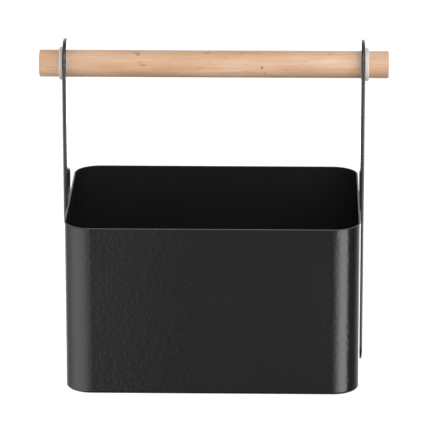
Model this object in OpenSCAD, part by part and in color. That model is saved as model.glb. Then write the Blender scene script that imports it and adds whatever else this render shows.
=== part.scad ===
// Tool storage caddy: a folded steel box with two plate arms and a turning wooden carry bar.
// The origin is at the centre of the base, on the surface that the caddy stands on.
// +Z is up, +X runs along the carry bar and -Y is the front.

/* [Box] */
// Outside width of the box, along the carry bar
box_w = 260; // [200:1:340]
// Outside depth of the box
box_d = 196; // [140:1:240]
// Height of the box, from the surface it stands on to its rim
box_h = 152.6; // [110:0.1:200]
// Thickness of the folded wall sheet
wall_t = 1.5; // [1:0.1:2]
// Radius along both edges of the rim
rim_round = 0.4; // [0.2:0.1:0.5]
// Outside radius of the upright corners
corner_r = 24; // [14:1:30]
// Outside radius of the bend between the walls and the base
bend_r = 3; // [2.5:0.1:5]
// Width of the inturned flange that carries the base panel, from the wall's outside
flange_w = 14; // [8:0.5:20]
// Thickness of the base panel
base_t = 1.5; // [1:0.1:2.5]

/* [Arms] */
// Width of each arm
arm_w = 45; // [38:1:60]
// Thickness of each arm
arm_t = 3.6; // [2.8:0.1:4]
// Radius along the edges of each arm
arm_edge_r = 1.3; // [0.3:0.1:1.4]
// Height of each arm's lower end above the surface that the caddy stands on
arm_foot_z = 1; // [0.5:0.5:10]

/* [Carry bar] */
// Diameter of the wooden bar
bar_d = 24; // [20:0.5:28]
// Length of the bar outside each arm
bar_overhang = 20.9; // [10:0.1:40]
// Height of the bar's centre line above the surface that the caddy stands on
bar_z = 275.6; // [230:0.1:330]
// Size of the small chamfer round each end of the bar
bar_chamfer = 0.5; // [0.2:0.1:1.5]

/* [Bushes] */
// Thickness of the bush's sleeve
sleeve_t = 1; // [0.8:0.1:2]
// Height of the bush's collar above its sleeve
collar_rise = 1.4; // [0.8:0.1:4]
// Length of the collar along the bar
collar_w = 3.6; // [2:0.1:6]
// Radius round the collar's outer edge
collar_round = 1.4; // [0.5:0.1:1.5]
// Length of the sleeve that stands out past the arm's inner face
sleeve_proud = 0.4; // [0:0.1:1]

/* [Fixings] */
// Thread diameter of the fixing screws
screw_d = 4; // [3:0.5:5]
// Distance of the upper screws below the rim
upper_screw_drop = 34; // [12:1:40]
// Diameter of the screws' countersunk heads
head_d = 7.6; // [7.2:0.1:9.4]
// Hexagon socket's width across flats
socket_af = 2.5; // [2:0.5:3]
// Depth of the hexagon socket
socket_depth = 1.4; // [0.8:0.1:1.8]
// Outside diameter of the washers
washer_d = 9; // [8:0.5:12]
// Thickness of the washers
washer_t = 0.8; // [0.5:0.1:1.2]
// Width across flats of the cap nuts
nut_af = 7; // [6.5:0.5:8]
// Height of the cap nuts' hexagonal part
nut_hex_h = 3.2; // [2:0.1:4]
// Diameter of the cap nuts' dome
nut_dome_d = 6.5; // [6:0.1:7.5]
// Depth of thread in the cap nuts
nut_thread = 4.5; // [3:0.1:5]

/* [Clearances] */
// Radial running clearance between the bar and its bushes
bar_clear = 0.12; // [0.05:0.01:0.3]
// Radial clearance between the sleeve and its hole in the arm
sleeve_clear = 0.04; // [0.02:0.01:0.1]
// Radial clearance of the screws in the arms and walls
screw_clear = 0.2; // [0.1:0.05:0.3]
// Radial clearance of the screws in the washers and nuts
thread_clear = 0.05; // [0.03:0.01:0.1]
// Gap between the base panel's edge and the wall's bend
base_gap = 0.3; // [0.1:0.1:1]

/* [Hidden] */
$fn = 96;

left = -1;
right = 1;
steel_black = [0.13, 0.13, 0.13];
beech = [0.87, 0.72, 0.58];
off_white = [0.85, 0.84, 0.82];
black_zinc = [0.2, 0.2, 0.21];

arm_end_r = arm_w / 2;
arm_low_centre = arm_foot_z + arm_end_r;
arm_high_centre = bar_z;
sleeve_bore_r = bar_d / 2 + bar_clear;
sleeve_r = sleeve_bore_r + sleeve_t;
bush_hole_r = sleeve_r + sleeve_clear;
collar_r = sleeve_r + collar_rise;
bar_len = box_w + 2 * (arm_t + bar_overhang);
screw_hole_r = screw_d / 2 + screw_clear;
thread_hole_r = screw_d / 2 + thread_clear;
upper_screw_z = box_h - upper_screw_drop;
lower_screw_z = arm_low_centre;
head_h = (head_d - screw_d) / 2;
clamp_stack = arm_t + wall_t + washer_t;
screw_end_gap = 0.3;
screw_len = clamp_stack + nut_thread - screw_end_gap;
side_x = box_w / 2;
cut_over = 0.5;

// One straight or curved stretch of wall, drawn in the plane of its section:
// x is the distance from the outside face inwards, y is the height
module wall_section() {
    translate([0, bend_r]) square([wall_t, box_h - bend_r - rim_round]);
    translate([rim_round, box_h - rim_round]) square([wall_t - 2 * rim_round, rim_round]);
    for (x = [rim_round, wall_t - rim_round])
        translate([x, box_h - rim_round]) circle(r = rim_round, $fn = 20);
    translate([bend_r, 0]) square([flange_w - bend_r, wall_t]);
    translate([bend_r, bend_r]) intersection() {
        difference() {
            circle(r = bend_r);
            circle(r = bend_r - wall_t);
        }
        translate([-bend_r, -bend_r]) square(bend_r);
    }
}

// The wall section extruded along X, its outside face at y = 0 and facing -Y
module straight_wall(length) {
    translate([-length / 2, 0, 0])
        rotate([90, 0, 90])
            linear_extrude(height = length) wall_section();
}

// The wall section turned through a quarter circle about the corner's upright axis
module corner_wall() {
    rotate([0, 0, 180])
        rotate_extrude(angle = 90)
            translate([corner_r, 0]) mirror([1, 0]) wall_section();
}

// Places a shape on the side wall of the box: local z points out of the wall, from its outside face
module on_side(side, z) {
    translate([side * side_x, 0, z]) rotate([0, side * 90, 0]) children();
}

module wall_band() {
    color(steel_black) difference() {
        union() {
            for (turn = [0, 180]) rotate([0, 0, turn]) {
                translate([0, -box_d / 2, 0]) straight_wall(box_w - 2 * corner_r);
                rotate([0, 0, 90]) translate([0, -box_w / 2, 0]) straight_wall(box_d - 2 * corner_r);
            }
            for (sx = [left, right]) for (sy = [-1, 1])
                translate([sx * (box_w / 2 - corner_r), sy * (box_d / 2 - corner_r), 0])
                    mirror([sx == right ? 1 : 0, 0, 0]) mirror([0, sy == 1 ? 1 : 0, 0])
                        corner_wall();
        }
        for (side = [left, right]) for (z = [lower_screw_z, upper_screw_z])
            on_side(side, z)
                translate([0, 0, -wall_t - cut_over]) cylinder(r = screw_hole_r, h = wall_t + 2 * cut_over);
    }
}

// A flat plate with round upright corners
module rounded_plate(w, d, r, t) {
    translate([-w / 2 + r, -d / 2, 0]) cube([w - 2 * r, d, t]);
    translate([-w / 2, -d / 2 + r, 0]) cube([w, d - 2 * r, t]);
    for (sx = [-1, 1]) for (sy = [-1, 1])
        translate([sx * (w / 2 - r), sy * (d / 2 - r), 0]) cylinder(r = r, h = t);
}

module base_panel() {
    inset = bend_r + base_gap;
    color(steel_black) translate([0, 0, wall_t])
        rounded_plate(box_w - 2 * inset, box_d - 2 * inset, corner_r - inset, base_t);
}

// Half of the arm's section, out to a round edge at radius r; y is the thickness
module arm_half_section(r) {
    square([r - arm_edge_r, arm_t]);
    translate([0, arm_edge_r]) square([r, arm_t - 2 * arm_edge_r]);
    for (y = [arm_edge_r, arm_t - arm_edge_r]) translate([r - arm_edge_r, y]) circle(r = arm_edge_r);
}

// The blank of an arm, flat on the XY plane, its length along X from the lower end's centre
module arm_blank() {
    span = arm_high_centre - arm_low_centre;
    rotate([90, 0, 90]) linear_extrude(height = span) {
        arm_half_section(arm_end_r);
        mirror([1, 0]) arm_half_section(arm_end_r);
    }
    translate([span, 0, 0]) rotate([0, 0, -90]) rotate_extrude(angle = 180) arm_half_section(arm_end_r);
    rotate([0, 0, 90]) rotate_extrude(angle = 180) arm_half_section(arm_end_r);
}

// An arm against its side wall, with the bar's hole and countersunk screw holes
module arm(side) {
    color(steel_black) difference() {
        translate([side * side_x, 0, arm_low_centre])
            mirror([side == left ? 1 : 0, 0, 0])
                rotate([0, -90, 0]) mirror([0, 0, 1]) arm_blank();
        on_side(side, bar_z)
            translate([0, 0, -cut_over]) cylinder(r = bush_hole_r, h = arm_t + 2 * cut_over);
        for (z = [lower_screw_z, upper_screw_z]) on_side(side, z) {
            translate([0, 0, -cut_over]) cylinder(r = screw_hole_r, h = arm_t + 2 * cut_over);
            translate([0, 0, arm_t - head_h])
                cylinder(r1 = screw_hole_r, r2 = head_d / 2 + screw_clear, h = head_h);
            translate([0, 0, arm_t]) cylinder(r = head_d / 2 + screw_clear, h = cut_over);
        }
    }
}

module left_arm() { arm(left); }
module right_arm() { arm(right); }

module handle_bar() {
    flat_r = bar_d / 2 - bar_chamfer;
    color(beech) translate([-bar_len / 2, 0, bar_z]) rotate([0, 90, 0]) {
        cylinder(r1 = flat_r, r2 = bar_d / 2, h = bar_chamfer);
        translate([0, 0, bar_chamfer]) cylinder(d = bar_d, h = bar_len - 2 * bar_chamfer);
        translate([0, 0, bar_len - bar_chamfer]) cylinder(r1 = bar_d / 2, r2 = flat_r, h = bar_chamfer);
    }
}

// The bush's section: x is the radius, y is the height above the arm's inner face
module bush_section() {
    collar_y = arm_t;
    translate([sleeve_bore_r, -sleeve_proud]) square([sleeve_t, sleeve_proud + arm_t + collar_w]);
    translate([sleeve_bore_r, collar_y]) {
        square([collar_r - sleeve_bore_r - collar_round, collar_w]);
        square([collar_r - sleeve_bore_r, collar_w - collar_round]);
    }
    translate([collar_r - collar_round, collar_y + collar_w - collar_round]) intersection() {
        circle(r = collar_round);
        square(collar_round);
    }
}

// A bush in its arm: sleeve through the arm, collar outside
module bush(side) {
    color(off_white) on_side(side, bar_z) rotate_extrude() bush_section();
}

module left_bush() { bush(left); }
module right_bush() { bush(right); }

// A countersunk screw, its head flush with the arm's outer face
module screw(side, z) {
    color(black_zinc) on_side(side, z) difference() {
        union() {
            translate([0, 0, arm_t - screw_len]) cylinder(d = screw_d, h = screw_len);
            translate([0, 0, arm_t - head_h]) cylinder(r1 = screw_d / 2, r2 = head_d / 2, h = head_h);
        }
        translate([0, 0, arm_t - socket_depth])
            cylinder(r = socket_af / sqrt(3), h = socket_depth + cut_over, $fn = 6);
    }
}

module left_upper_screw() { screw(left, upper_screw_z); }
module left_lower_screw() { screw(left, lower_screw_z); }
module right_upper_screw() { screw(right, upper_screw_z); }
module right_lower_screw() { screw(right, lower_screw_z); }

// A washer against the inside of the wall
module washer(side, z) {
    color(black_zinc) on_side(side, z) translate([0, 0, -wall_t - washer_t]) difference() {
        cylinder(d = washer_d, h = washer_t);
        translate([0, 0, -cut_over]) cylinder(r = thread_hole_r, h = washer_t + 2 * cut_over);
    }
}

module left_upper_washer() { washer(left, upper_screw_z); }
module left_lower_washer() { washer(left, lower_screw_z); }
module right_upper_washer() { washer(right, upper_screw_z); }
module right_lower_washer() { washer(right, lower_screw_z); }

// A cap nut on the screw's end, against its washer; the dome points into the box
module cap_nut(side, z) {
    color(black_zinc) on_side(side, z) translate([0, 0, -wall_t - washer_t]) mirror([0, 0, 1]) difference() {
        union() {
            cylinder(r = nut_af / sqrt(3), h = nut_hex_h, $fn = 6);
            translate([0, 0, nut_hex_h]) sphere(d = nut_dome_d);
        }
        translate([0, 0, -nut_dome_d]) cylinder(d = 2 * nut_dome_d, h = nut_dome_d);
        translate([0, 0, -cut_over]) cylinder(r = thread_hole_r, h = nut_thread + cut_over);
    }
}

module left_upper_nut() { cap_nut(left, upper_screw_z); }
module left_lower_nut() { cap_nut(left, lower_screw_z); }
module right_upper_nut() { cap_nut(right, upper_screw_z); }
module right_lower_nut() { cap_nut(right, lower_screw_z); }

wall_band();
base_panel();
left_arm();
right_arm();
handle_bar();
left_bush();
right_bush();
left_upper_screw();
left_lower_screw();
right_upper_screw();
right_lower_screw();
left_upper_washer();
left_lower_washer();
right_upper_washer();
right_lower_washer();
left_upper_nut();
left_lower_nut();
right_upper_nut();
right_lower_nut();
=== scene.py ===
"""The looks of the tool storage caddy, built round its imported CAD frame."""

import math

import bmesh
import bpy
from mathutils import Matrix, Vector


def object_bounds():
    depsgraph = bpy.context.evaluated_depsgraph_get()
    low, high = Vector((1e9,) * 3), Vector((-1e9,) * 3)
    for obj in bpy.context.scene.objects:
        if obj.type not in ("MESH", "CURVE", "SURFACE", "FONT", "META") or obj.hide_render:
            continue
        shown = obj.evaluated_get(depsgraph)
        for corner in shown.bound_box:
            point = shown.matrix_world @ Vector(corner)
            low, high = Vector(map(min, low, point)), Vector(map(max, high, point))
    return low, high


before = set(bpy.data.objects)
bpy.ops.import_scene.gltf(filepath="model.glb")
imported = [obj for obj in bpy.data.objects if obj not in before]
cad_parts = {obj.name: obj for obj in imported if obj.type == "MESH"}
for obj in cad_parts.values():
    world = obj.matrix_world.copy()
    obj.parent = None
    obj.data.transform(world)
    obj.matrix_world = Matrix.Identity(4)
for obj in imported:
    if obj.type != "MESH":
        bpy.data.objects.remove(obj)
cad_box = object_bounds()

# The camera, from a fit of the box's edges. Angles are in degrees and lengths in metres.
IMAGE_SIZE = 430
CAMERA_DISTANCE = 3.27
CAMERA_FOCAL_PIXELS = 3650
CAMERA_PITCH = 16.98
CAMERA_YAW = -1.31
CAMERA_ROLL = -0.06
CAMERA_TARGET = Vector((0, 0, 0.150))
CAMERA_OFFSET_PIXELS = (-0.84, -15.46)
CAMERA_REACH = 50
SENSOR = 36.0

# The stage. Strengths and shades are linear, where 1 is white.
FLOOR_HALF = 6.0
FLOOR_GLOW = 0.92
# The shade that the seen floor adds where the lamps reach it, which leaves the object's shadow.
FLOOR_SHADE = 0.25
# The floor's colour for the light that it throws back.
FLOOR_BOUNCE = 0.80
FLOOR_ROUGHNESS = 0.9
WORLD_LIGHT = 0.45
# In gloss the world is this bright in front, and white behind the object.
FRONT_GLOSS = 0.0
# The y of the direction where it starts to turn white, and where it is white.
GLOSS_TURN = (0.2, 0.8)

# The lamps' radiance, where 1 is the white of the backdrop.
RIGHT_LAMP = 4.1
LEFT_LAMP = 2.0
LOW_LAMP = 3.2
FRONT_LAMP = 2.6
BACK_LAMP = 1.7
TOP_LAMP = 0.5
LAMP_TARGET = (0, 0, 0.15)
# The plain lamps: name, place, target, width, height and radiance.
PLAIN_LAMPS = (
    ("back_lamp", (0, 2.0, -0.35), (0, 0, -0.35), 3.0, 1.0, BACK_LAMP),
    ("top_lamp", (0, -0.5, 2.2), LAMP_TARGET, 2.0, 1.6, TOP_LAMP),
    ("low_lamp", (0.4, -2.4, 0.60), LAMP_TARGET, 1.6, 0.7, LOW_LAMP),
    ("front_lamp", (0.6, -1.6, 1.9), LAMP_TARGET, 3.2, 1.2, FRONT_LAMP),
)

# Each side light is a few bands, which show in the front corner on its side: the bearings
# that a band spans, in degrees from straight ahead, and its share of the lamp.
RIGHT_BANDS = ((8, 64, 0.07), (14, 64, 0.48), (28, 64, 0.58))
LEFT_BANDS = ((3, 114, 0.24), (11, 104, 0.28), (22, 90, 0.32), (36, 76, 0.22))
RIGHT_DISTANCE = 1.2
LEFT_DISTANCE = 0.9
# Bands of nearly the same middle lose light where they lie in one plane, so each left one
# stands a step behind the last. The right ones have different middles.
RIGHT_STEP = 0.0
LEFT_STEP = 0.01
SIDE_LAMP_HEIGHTS = (-1.2, 0.12)
CORNER_RADIUS = 0.024
LEFT = -1
RIGHT = 1

# Where a noise's ramp starts and ends, for the surfaces that drift between two shades.
NOISE_LOW = 0.3
NOISE_HIGH = 0.7

# The powder coat. Scales are in features per metre, and ramps are (position, colour) stops.
COAT_SHADES = ((0.0140, 0.0140, 0.0143), (0.0165, 0.0165, 0.0167))
COAT_SHADE_SCALE = 9.0
COAT_GLOSS_SCALE = 420.0
COAT_UNEVENNESS = 1.1
BOX_ROUGHNESS = 0.215
BOX_LACQUER = 0.0
ARM_ROUGHNESS = 0.45
ARM_LACQUER = 1.0
LACQUER_ROUGHNESS = 0.15
# Where the coat turns smoother, as Layer Weight's Facing, up to edge-on, and the share of its
# roughness that is left at each.
GRAZING_BLEND = 0.5
GRAZING_FACING = (0.70, 1.0)
GRAZING_SHARE = (1.0, 0.2)
PEEL_SCALE = 300.0
PEEL_STRENGTH = 0.3
PEEL_HEIGHT = 0.0007

# The beech. A stretch below 1 draws a texture out along the bar.
GRAIN_DETAIL = 3.0
PATCH_SCALE = 45.0
PATCH_STRETCH = (0.25, 1, 1)
PATCH_SHADES = (
    (0.34, (0.590, 0.357, 0.210)),
    (0.50, (0.655, 0.410, 0.262)),
    (0.64, (0.725, 0.487, 0.343)),
)
STREAK_SCALE = 800.0
STREAK_STRETCH = (0.03, 1, 1)
STREAK_MASK = ((0.42, (0, 0, 0)), (0.68, (0.42, 0.42, 0.42)))
STREAK_COLOUR = (0.50, 0.285, 0.150)
RAY_DETAIL = 1.0
RAY_SCALE = 700.0
RAY_STRETCH = (0.14, 1, 1)
RAY_MASK = ((0.64, (0, 0, 0)), (0.74, (0.35, 0.35, 0.35)))
RAY_COLOUR = (0.40, 0.235, 0.130)
BEECH_ROUGHNESS = 0.55
GRAIN_STRENGTH = 0.20
GRAIN_HEIGHT = 0.0002
# Pin knots: place along the bar, elevation round it from the front in degrees, length,
# height and strength.
KNOTS = (
    (-0.0690, 68, 0.0080, 0.0030, 0.35),
    (-0.0672, 56, 0.0045, 0.0036, 0.50),
    (-0.0655, 20, 0.0030, 0.0024, 0.35),
    (-0.0628, 9, 0.0075, 0.0028, 0.42),
    (-0.0060, 66, 0.0080, 0.0032, 0.40),
    (0.0240, 66, 0.0040, 0.0030, 0.30),
    (0.0425, 0, 0.0026, 0.0026, 0.95),
    (0.0452, -29, 0.0024, 0.0026, 0.55),
    (0.1026, 64, 0.0036, 0.0030, 0.35),
)
KNOT_COLOUR = (0.240, 0.095, 0.035)
# A knot fades out between these shares of its half length or half height.
KNOT_FADE = (0.4, 1.2)

# The bushes' plastic and the fixings' zinc.
BUSH_SHADES = ((0.70, 0.635, 0.58), (0.77, 0.71, 0.66))
BUSH_SHADE_SCALE = 50.0
BUSH_ROUGHNESS = 0.4
BUSH_GLOW_THROUGH = 0.15
BUSH_GLOW_DEPTH = 0.002
ZINC_SHADES = ((0.030, 0.030, 0.032), (0.050, 0.050, 0.054))
ZINC_SHADE_SCALE = 300.0
ZINC_METALLIC = 0.6
ZINC_ROUGHNESS = 0.38


def node_box(name):
    """A CAD node's lowest and highest corner, in its own metres, which are the frame's at rest."""
    points = [vertex.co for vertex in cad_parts[name].data.vertices]
    low = Vector([min(point[axis] for point in points) for axis in range(3)])
    high = Vector([max(point[axis] for point in points) for axis in range(3)])
    return low, high


# ---------------------------------------------------------------- materials

def new_material(name):
    """A material with only its Principled shader; returns material, nodes, link and shader."""
    material = bpy.data.materials.new(name)
    material.use_nodes = True
    nodes = material.node_tree.nodes
    shader = nodes["Principled BSDF"]
    return material, nodes, material.node_tree.links.new, shader


def ramp(nodes, link, factor, stops):
    """The colour that a ramp with these (position, colour) stops gives to a linked factor."""
    node = nodes.new("ShaderNodeValToRGB")
    elements = node.color_ramp.elements
    while len(elements) < len(stops):
        elements.new(0.5)
    for element, (position, colour) in zip(elements, stops):
        element.position = position
        element.color = (*colour, 1)
    link(factor, node.inputs["Fac"])
    return node.outputs["Color"]


def map_range(nodes, link, value, source, target):
    """A linked value, mapped from the source's range to the target's."""
    node = nodes.new("ShaderNodeMapRange")
    node.inputs["From Min"].default_value, node.inputs["From Max"].default_value = source
    node.inputs["To Min"].default_value, node.inputs["To Max"].default_value = target
    link(value, node.inputs["Value"])
    return node.outputs["Result"]


def two_way_math(nodes, link, operation, first, second):
    """The result of an operation on two linked values."""
    node = nodes.new("ShaderNodeMath")
    node.operation = operation
    link(first, node.inputs[0])
    link(second, node.inputs[1])
    return node.outputs["Value"]


def object_noise(nodes, link, scale, detail=2.0, stretch=(1, 1, 1)):
    """A noise in the object's own metres, stretched along its axes; returns its factor."""
    coordinates = nodes.new("ShaderNodeTexCoord")
    mapping = nodes.new("ShaderNodeMapping")
    mapping.inputs["Scale"].default_value = stretch
    noise = nodes.new("ShaderNodeTexNoise")
    noise.inputs["Scale"].default_value = scale
    noise.inputs["Detail"].default_value = detail
    link(coordinates.outputs["Object"], mapping.inputs["Vector"])
    link(mapping.outputs["Vector"], noise.inputs["Vector"])
    return noise.outputs["Fac"]


def uneven(nodes, link, scale, low, high):
    """A colour that drifts between two others, in patches of this scale."""
    noise = object_noise(nodes, link, scale)
    return ramp(nodes, link, noise, ((NOISE_LOW, low), (NOISE_HIGH, high)))


def add_bump(nodes, link, shader, height, strength, distance):
    """Roughens a shader's surface by a linked height."""
    bump = nodes.new("ShaderNodeBump")
    bump.inputs["Strength"].default_value = strength
    bump.inputs["Distance"].default_value = distance
    link(height, bump.inputs["Height"])
    link(bump.outputs["Normal"], shader.inputs["Normal"])


def powder_coat(name, roughness, lacquer):
    """Satin black powder coat: fine orange peel, uneven gloss and a share of clear lacquer."""
    material, nodes, link, shader = new_material(name)
    shader.inputs["Coat Weight"].default_value = lacquer
    shader.inputs["Coat Roughness"].default_value = LACQUER_ROUGHNESS
    shade = uneven(nodes, link, COAT_SHADE_SCALE, *COAT_SHADES)
    link(shade, shader.inputs["Base Color"])
    least = (roughness,) * 3
    most = (COAT_UNEVENNESS * roughness,) * 3
    rough = uneven(nodes, link, COAT_GLOSS_SCALE, least, most)
    weight = nodes.new("ShaderNodeLayerWeight")
    weight.inputs["Blend"].default_value = GRAZING_BLEND
    smoother = map_range(nodes, link, weight.outputs["Facing"], GRAZING_FACING, GRAZING_SHARE)
    link(two_way_math(nodes, link, "MULTIPLY", rough, smoother), shader.inputs["Roughness"])
    peel = object_noise(nodes, link, PEEL_SCALE)
    add_bump(nodes, link, shader, peel, PEEL_STRENGTH, PEEL_HEIGHT)
    return material


def knot_mask(nodes, link, bar_height, bar_radius, knot):
    """A mask with the knot's strength in a small oval on the bar's surface, and 0 outside it."""
    along, elevation, length, height, strength = knot
    angle = math.radians(elevation)
    coordinates = nodes.new("ShaderNodeTexCoord")
    offset = nodes.new("ShaderNodeVectorMath")
    offset.operation = "SUBTRACT"
    offset.inputs[1].default_value = (
        along,
        -bar_radius * math.cos(angle),
        bar_height + bar_radius * math.sin(angle),
    )
    link(coordinates.outputs["Object"], offset.inputs[0])
    oval = nodes.new("ShaderNodeVectorMath")
    oval.operation = "MULTIPLY"
    oval.inputs[1].default_value = (2 / length, 2 / height, 2 / height)
    link(offset.outputs["Vector"], oval.inputs[0])
    distance = nodes.new("ShaderNodeVectorMath")
    distance.operation = "LENGTH"
    link(oval.outputs["Vector"], distance.inputs[0])
    return map_range(nodes, link, distance.outputs["Value"], KNOT_FADE, (strength, 0.0))


def mix_colour(nodes, link, factor, first, second):
    """Mixes a linked colour towards a plain one by a linked factor; returns the mixed colour."""
    mix = nodes.new("ShaderNodeMix")
    mix.data_type = "RGBA"
    mix.inputs["B"].default_value = (*second, 1)
    link(factor, mix.inputs["Factor"])
    link(first, mix.inputs["A"])
    return mix.outputs["Result"]


def beech():
    """Sanded beech: patches, grain along the bar, short dark rays, pin knots, matt and oiled."""
    bar_low, bar_high = node_box("handle_bar")
    bar_height = (bar_low.z + bar_high.z) / 2
    bar_radius = (bar_high.z - bar_low.z) / 2
    material, nodes, link, shader = new_material("beech")
    patches = object_noise(nodes, link, PATCH_SCALE, GRAIN_DETAIL, PATCH_STRETCH)
    colour = ramp(nodes, link, patches, PATCH_SHADES)
    streaks = object_noise(nodes, link, STREAK_SCALE, GRAIN_DETAIL, STREAK_STRETCH)
    streak_mask = ramp(nodes, link, streaks, STREAK_MASK)
    colour = mix_colour(nodes, link, streak_mask, colour, STREAK_COLOUR)
    rays = object_noise(nodes, link, RAY_SCALE, RAY_DETAIL, RAY_STRETCH)
    colour = mix_colour(nodes, link, ramp(nodes, link, rays, RAY_MASK), colour, RAY_COLOUR)
    for knot in KNOTS:
        mask = knot_mask(nodes, link, bar_height, bar_radius, knot)
        colour = mix_colour(nodes, link, mask, colour, KNOT_COLOUR)
    link(colour, shader.inputs["Base Color"])
    shader.inputs["Roughness"].default_value = BEECH_ROUGHNESS
    add_bump(nodes, link, shader, streaks, GRAIN_STRENGTH, GRAIN_HEIGHT)
    return material


def bush_plastic():
    """Off-white moulded plastic, a little translucent."""
    material, nodes, link, shader = new_material("bush_plastic")
    shade = uneven(nodes, link, BUSH_SHADE_SCALE, *BUSH_SHADES)
    link(shade, shader.inputs["Base Color"])
    shader.inputs["Roughness"].default_value = BUSH_ROUGHNESS
    shader.inputs["Subsurface Weight"].default_value = BUSH_GLOW_THROUGH
    shader.inputs["Subsurface Radius"].default_value = (BUSH_GLOW_DEPTH,) * 3
    return material


def black_zinc():
    """Black zinc-plated steel for the fixings."""
    material, nodes, link, shader = new_material("fixings")
    shade = uneven(nodes, link, ZINC_SHADE_SCALE, *ZINC_SHADES)
    link(shade, shader.inputs["Base Color"])
    shader.inputs["Metallic"].default_value = ZINC_METALLIC
    shader.inputs["Roughness"].default_value = ZINC_ROUGHNESS
    return material


def dress(node_names, material):
    """Gives CAD nodes their material."""
    for name in node_names:
        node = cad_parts[name]
        node.data.materials.clear()
        node.data.materials.append(material)


# ---------------------------------------------------------------- camera, stage and light

def add_camera():
    """The camera at the photograph's angle. The picture is square."""
    pitch = math.radians(CAMERA_PITCH)
    yaw = math.radians(CAMERA_YAW)
    roll = math.radians(CAMERA_ROLL)
    forward = Vector((
        math.sin(yaw) * math.cos(pitch),
        math.cos(yaw) * math.cos(pitch),
        -math.sin(pitch),
    ))
    side = Vector((math.cos(yaw), -math.sin(yaw), 0))
    up = side.cross(forward)
    rolled_side = side * math.cos(roll) + up * math.sin(roll)
    rolled_up = up * math.cos(roll) - side * math.sin(roll)
    data = bpy.data.cameras.new("camera")
    data.sensor_fit = "HORIZONTAL"
    data.sensor_width = SENSOR
    data.lens = CAMERA_FOCAL_PIXELS / IMAGE_SIZE * SENSOR
    data.shift_x = -CAMERA_OFFSET_PIXELS[0] / IMAGE_SIZE
    data.shift_y = CAMERA_OFFSET_PIXELS[1] / IMAGE_SIZE
    data.clip_end = CAMERA_REACH
    camera = bpy.data.objects.new("camera", data)
    axes = Matrix((rolled_side, rolled_up, -forward)).transposed().to_4x4()
    place = CAMERA_TARGET - forward * CAMERA_DISTANCE
    camera.matrix_world = Matrix.Translation(place) @ axes
    bpy.context.scene.collection.objects.link(camera)
    bpy.context.scene.camera = camera


def seen_directly(nodes, link):
    """1 on camera, glossy and transmission rays, and 0 on the rays that carry light."""
    path = nodes.new("ShaderNodeLightPath")
    seen = path.outputs["Is Camera Ray"]
    for ray in ("Is Glossy Ray", "Is Transmission Ray"):
        seen = two_way_math(nodes, link, "MAXIMUM", seen, path.outputs[ray])
    return seen


def floor_material():
    """Near white with the object's shadow where it is seen, and pale grey to all other light."""
    material, nodes, link, shader = new_material("pale_floor")
    shader.inputs["Base Color"].default_value = (FLOOR_BOUNCE, FLOOR_BOUNCE, FLOOR_BOUNCE, 1)
    shader.inputs["Roughness"].default_value = FLOOR_ROUGHNESS
    shader.inputs["Specular IOR Level"].default_value = 0.0
    glow = nodes.new("ShaderNodeEmission")
    glow.inputs["Strength"].default_value = FLOOR_GLOW
    shaded = nodes.new("ShaderNodeBsdfDiffuse")
    shaded.inputs["Color"].default_value = (FLOOR_SHADE, FLOOR_SHADE, FLOOR_SHADE, 1)
    both = nodes.new("ShaderNodeAddShader")
    link(glow.outputs["Emission"], both.inputs[0])
    link(shaded.outputs["BSDF"], both.inputs[1])
    mix = nodes.new("ShaderNodeMixShader")
    link(seen_directly(nodes, link), mix.inputs["Fac"])
    link(shader.outputs["BSDF"], mix.inputs[1])
    link(both.outputs["Shader"], mix.inputs[2])
    link(mix.outputs["Shader"], nodes["Material Output"].inputs["Surface"])
    return material


def add_floor():
    """The floor. Gloss looks past it, to the backdrop and to the lamps that reach below it."""
    mesh = bpy.data.meshes.new("floor")
    work = bmesh.new()
    bmesh.ops.create_grid(work, x_segments=1, y_segments=1, size=FLOOR_HALF)
    work.to_mesh(mesh)
    work.free()
    floor = bpy.data.objects.new("floor", mesh)
    floor.location = (0, 0, cad_box[0][2])
    floor.visible_glossy = False
    mesh.materials.append(floor_material())
    bpy.context.scene.collection.objects.link(floor)


def mix_number(nodes, link, factor):
    """A mix of two numbers, A and B, by a linked factor; returns the node."""
    mix = nodes.new("ShaderNodeMix")
    link(factor, mix.inputs["Factor"])
    return mix


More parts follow.
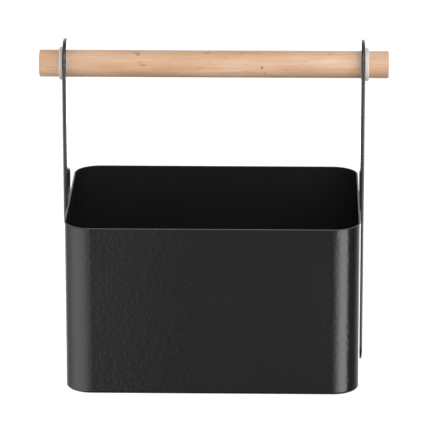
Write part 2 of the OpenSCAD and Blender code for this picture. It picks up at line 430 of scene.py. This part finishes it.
def add_world():
    """A plain studio: white where it is seen, dim in front in gloss, and soft grey as light."""
    world = bpy.data.worlds.new("studio")
    world.use_nodes = True
    nodes = world.node_tree.nodes
    link = world.node_tree.links.new
    background = nodes["Background"]
    direction = nodes.new("ShaderNodeTexCoord")
    split = nodes.new("ShaderNodeSeparateXYZ")
    link(direction.outputs["Generated"], split.inputs["Vector"])
    mirrored = map_range(nodes, link, split.outputs["Y"], GLOSS_TURN, (FRONT_GLOSS, 1.0))
    path = nodes.new("ShaderNodeLightPath")
    direct = mix_number(nodes, link, path.outputs["Is Camera Ray"])
    direct.inputs["B"].default_value = 1.0
    link(mirrored, direct.inputs["A"])
    level = mix_number(nodes, link, seen_directly(nodes, link))
    level.inputs["A"].default_value = WORLD_LIGHT
    link(direct.outputs["Result"], level.inputs["B"])
    link(level.outputs["Result"], background.inputs["Strength"])
    background.inputs["Color"].default_value = (1, 1, 1, 1)
    bpy.context.scene.world = world


def add_lamp(name, place, target, width, height, radiance):
    """A soft rectangular lamp that faces its target and shows only as light and in gloss."""
    data = bpy.data.lights.new(name, "AREA")
    data.shape = "RECTANGLE"
    data.size = width
    data.size_y = height
    data.energy = radiance * math.pi * width * height
    lamp = bpy.data.objects.new(name, data)
    lamp.location = place
    direction = Vector(target) - Vector(place)
    lamp.rotation_euler = direction.to_track_quat("-Z", "Y").to_euler()
    lamp.visible_camera = False
    bpy.context.scene.collection.objects.link(lamp)


def add_side_light(name, side, radiance, distance, step, bands):
    """A light beside the front corner on this side: bands, each one a step behind the last."""
    wall_low, wall_high = node_box("wall_band")
    low, high = SIDE_LAMP_HEIGHTS
    corner_x = side * (wall_high.x - CORNER_RADIUS)
    corner_y = wall_low.y + CORNER_RADIUS
    centre = Vector((corner_x, corner_y, (low + high) / 2))
    for number, (start, end, share) in enumerate(bands):
        middle = math.radians((start + end) / 2)
        half = math.radians((end - start) / 2)
        reach = distance + step * number
        place = centre + Vector((side * math.sin(middle), -math.cos(middle), 0)) * reach
        width = 2 * reach * math.tan(half)
        add_lamp(f"{name}_{number}", place, centre, width, high - low, share * radiance)


bpy.context.scene.view_settings.view_transform = "Standard"
add_camera()
add_floor()
add_world()
add_side_light("right_lamp", RIGHT, RIGHT_LAMP, RIGHT_DISTANCE, RIGHT_STEP, RIGHT_BANDS)
add_side_light("left_lamp", LEFT, LEFT_LAMP, LEFT_DISTANCE, LEFT_STEP, LEFT_BANDS)
for lamp in PLAIN_LAMPS:
    add_lamp(*lamp)

dress(["wall_band", "base_panel"], powder_coat("black_coat", BOX_ROUGHNESS, BOX_LACQUER))
dress(["left_arm", "right_arm"], powder_coat("arm_coat", ARM_ROUGHNESS, ARM_LACQUER))
dress([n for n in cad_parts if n.endswith(("_screw", "_washer", "_nut"))], black_zinc())
dress(["handle_bar"], beech())
dress(["left_bush", "right_bush"], bush_plastic())
